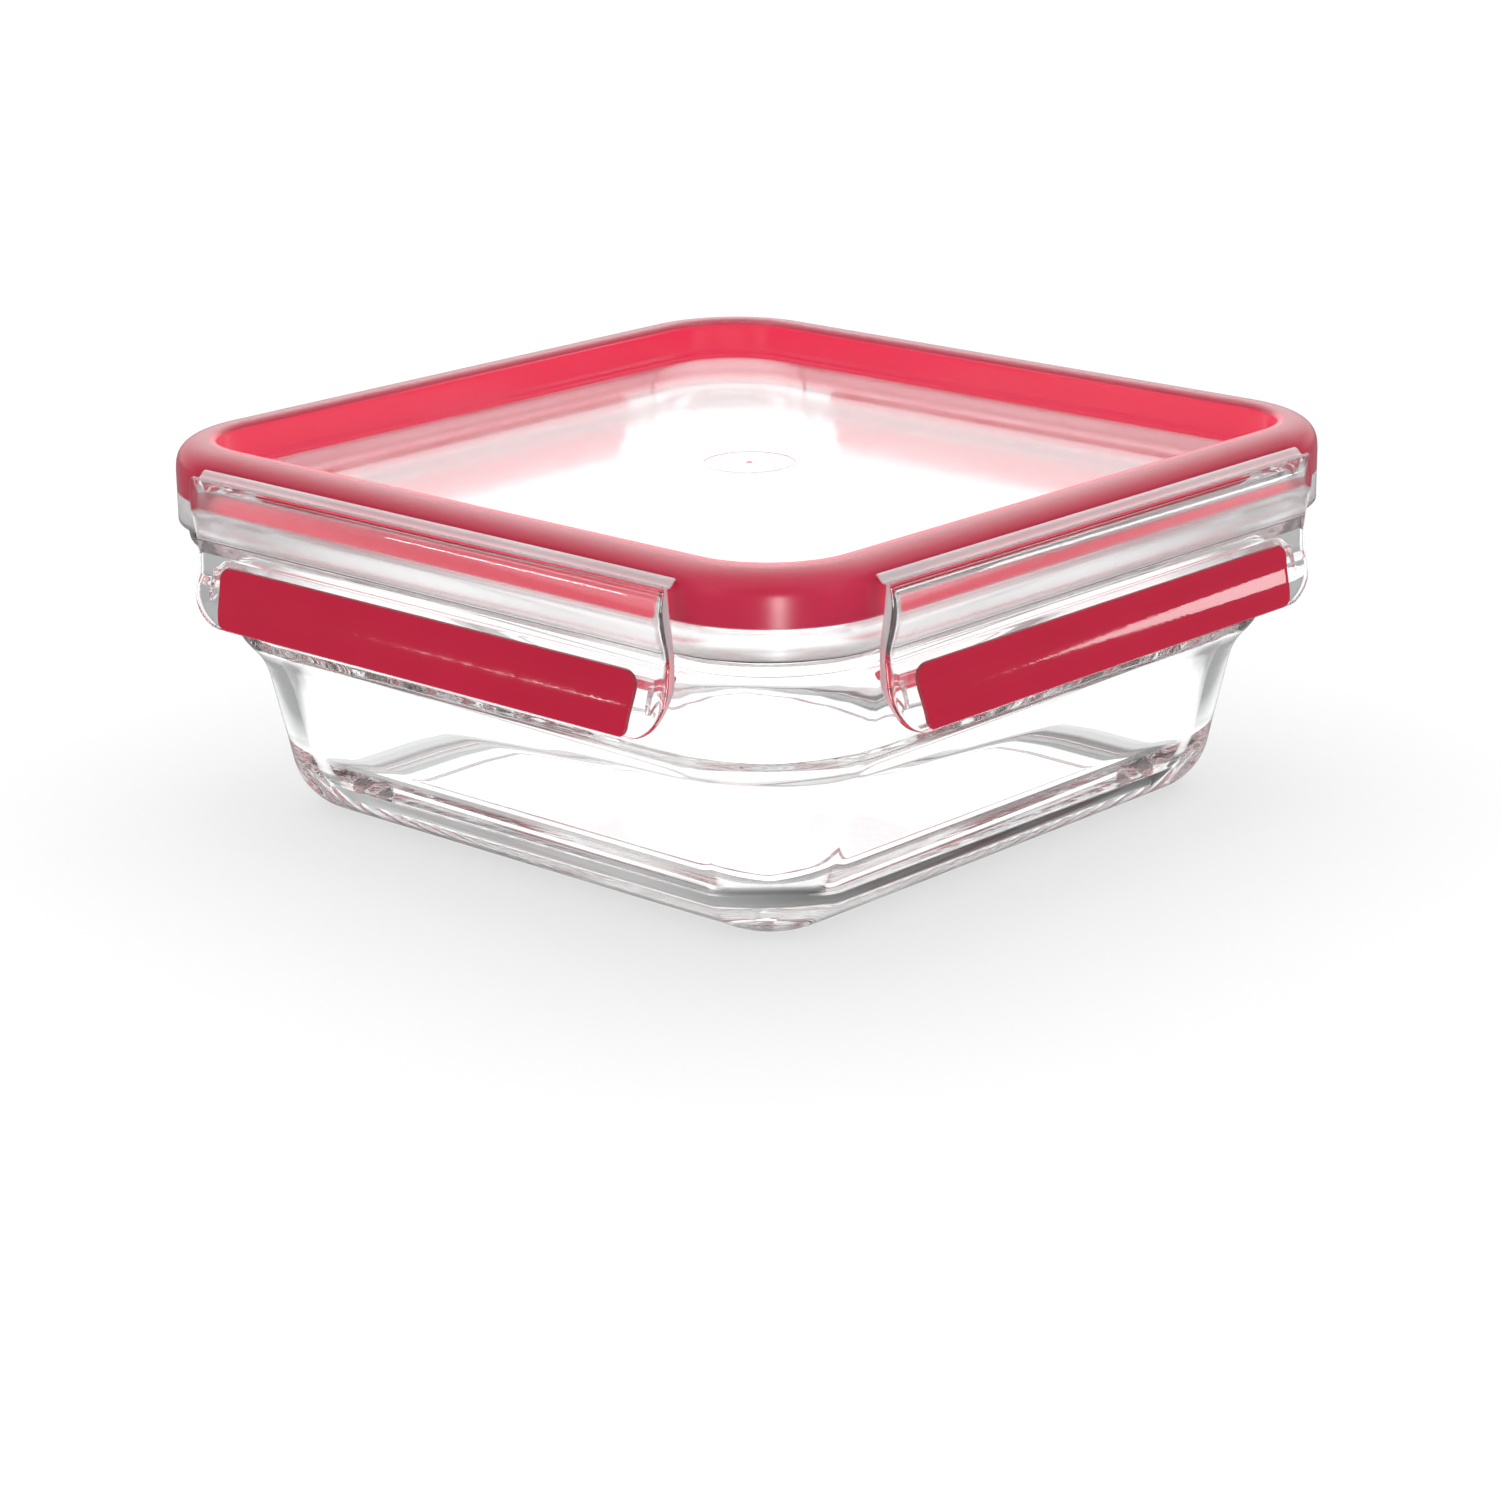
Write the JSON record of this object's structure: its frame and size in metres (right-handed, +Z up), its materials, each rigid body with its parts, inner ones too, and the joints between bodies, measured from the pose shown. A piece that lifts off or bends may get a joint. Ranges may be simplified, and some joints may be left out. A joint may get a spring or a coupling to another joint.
{
  "type": "glass storage container",
  "caption": "Square glass food container with a clear lid, a red seal ring in its rim and a film-hinged clip with a soft grip on each side.",
  "frame": {"origin": "centre of the dish's base, on the surface it stands on", "axes": "+Z up through the lid, +X out through the right clip, -Y out through the front clip"},
  "size_m": [0.1868, 0.1868, 0.0768],
  "materials": {
    "dish_glass": "clear pressed glass, polished",
    "lid_clear": "clear glossy moulded plastic",
    "clip_clear": "clear glossy moulded plastic",
    "seal_red": "soft red seal, seen glossy through the clear lid",
    "pad_red": "smooth red soft-touch"
  },
  "bodies": {
    "dish": {"glass_dish": "dish_glass"},
    "lid": {"lid_cover": "lid_clear", "seal_ring": "seal_red", "film_hinge_right": "clip_clear", "film_hinge_back": "clip_clear", "film_hinge_left": "clip_clear", "film_hinge_front": "clip_clear"},
    "clip_right_body": {"clip_right": "clip_clear", "grip_pad_right": "pad_red", "latch_rib_right": "clip_clear"},
    "clip_back_body": {"clip_back": "clip_clear", "grip_pad_back": "pad_red", "latch_rib_back": "clip_clear"},
    "clip_left_body": {"clip_left": "clip_clear", "grip_pad_left": "pad_red", "latch_rib_left": "clip_clear"},
    "clip_front_body": {"clip_front": "clip_clear", "grip_pad_front": "pad_red", "latch_rib_front": "clip_clear"}
  },
  "joints": [
    {"name": "lid_lift", "type": "slide", "parent": "dish", "child": "lid", "axis": [0, 0, 1], "range_m": [0, 0.06], "deforming": ["latch_rib_right", "latch_rib_back", "latch_rib_left", "latch_rib_front"]},
    {"name": "clip_right_hinge", "type": "hinge", "parent": "lid", "child": "clip_right_body", "pos_m": [0.0894, 0, 0.0733], "axis": [0, -1, 0], "range_deg": [0, 120], "deforming": ["film_hinge_right"]},
    {"name": "clip_back_hinge", "type": "hinge", "parent": "lid", "child": "clip_back_body", "pos_m": [0, 0.0894, 0.0733], "axis": [1, 0, 0], "range_deg": [0, 120], "deforming": ["film_hinge_back"]},
    {"name": "clip_left_hinge", "type": "hinge", "parent": "lid", "child": "clip_left_body", "pos_m": [-0.0894, 0, 0.0733], "axis": [0, 1, 0], "range_deg": [0, 120], "deforming": ["film_hinge_left"]},
    {"name": "clip_front_hinge", "type": "hinge", "parent": "lid", "child": "clip_front_body", "pos_m": [0, -0.0894, 0.0733], "axis": [-1, 0, 0], "range_deg": [0, 120], "deforming": ["film_hinge_front"]}
  ]
}
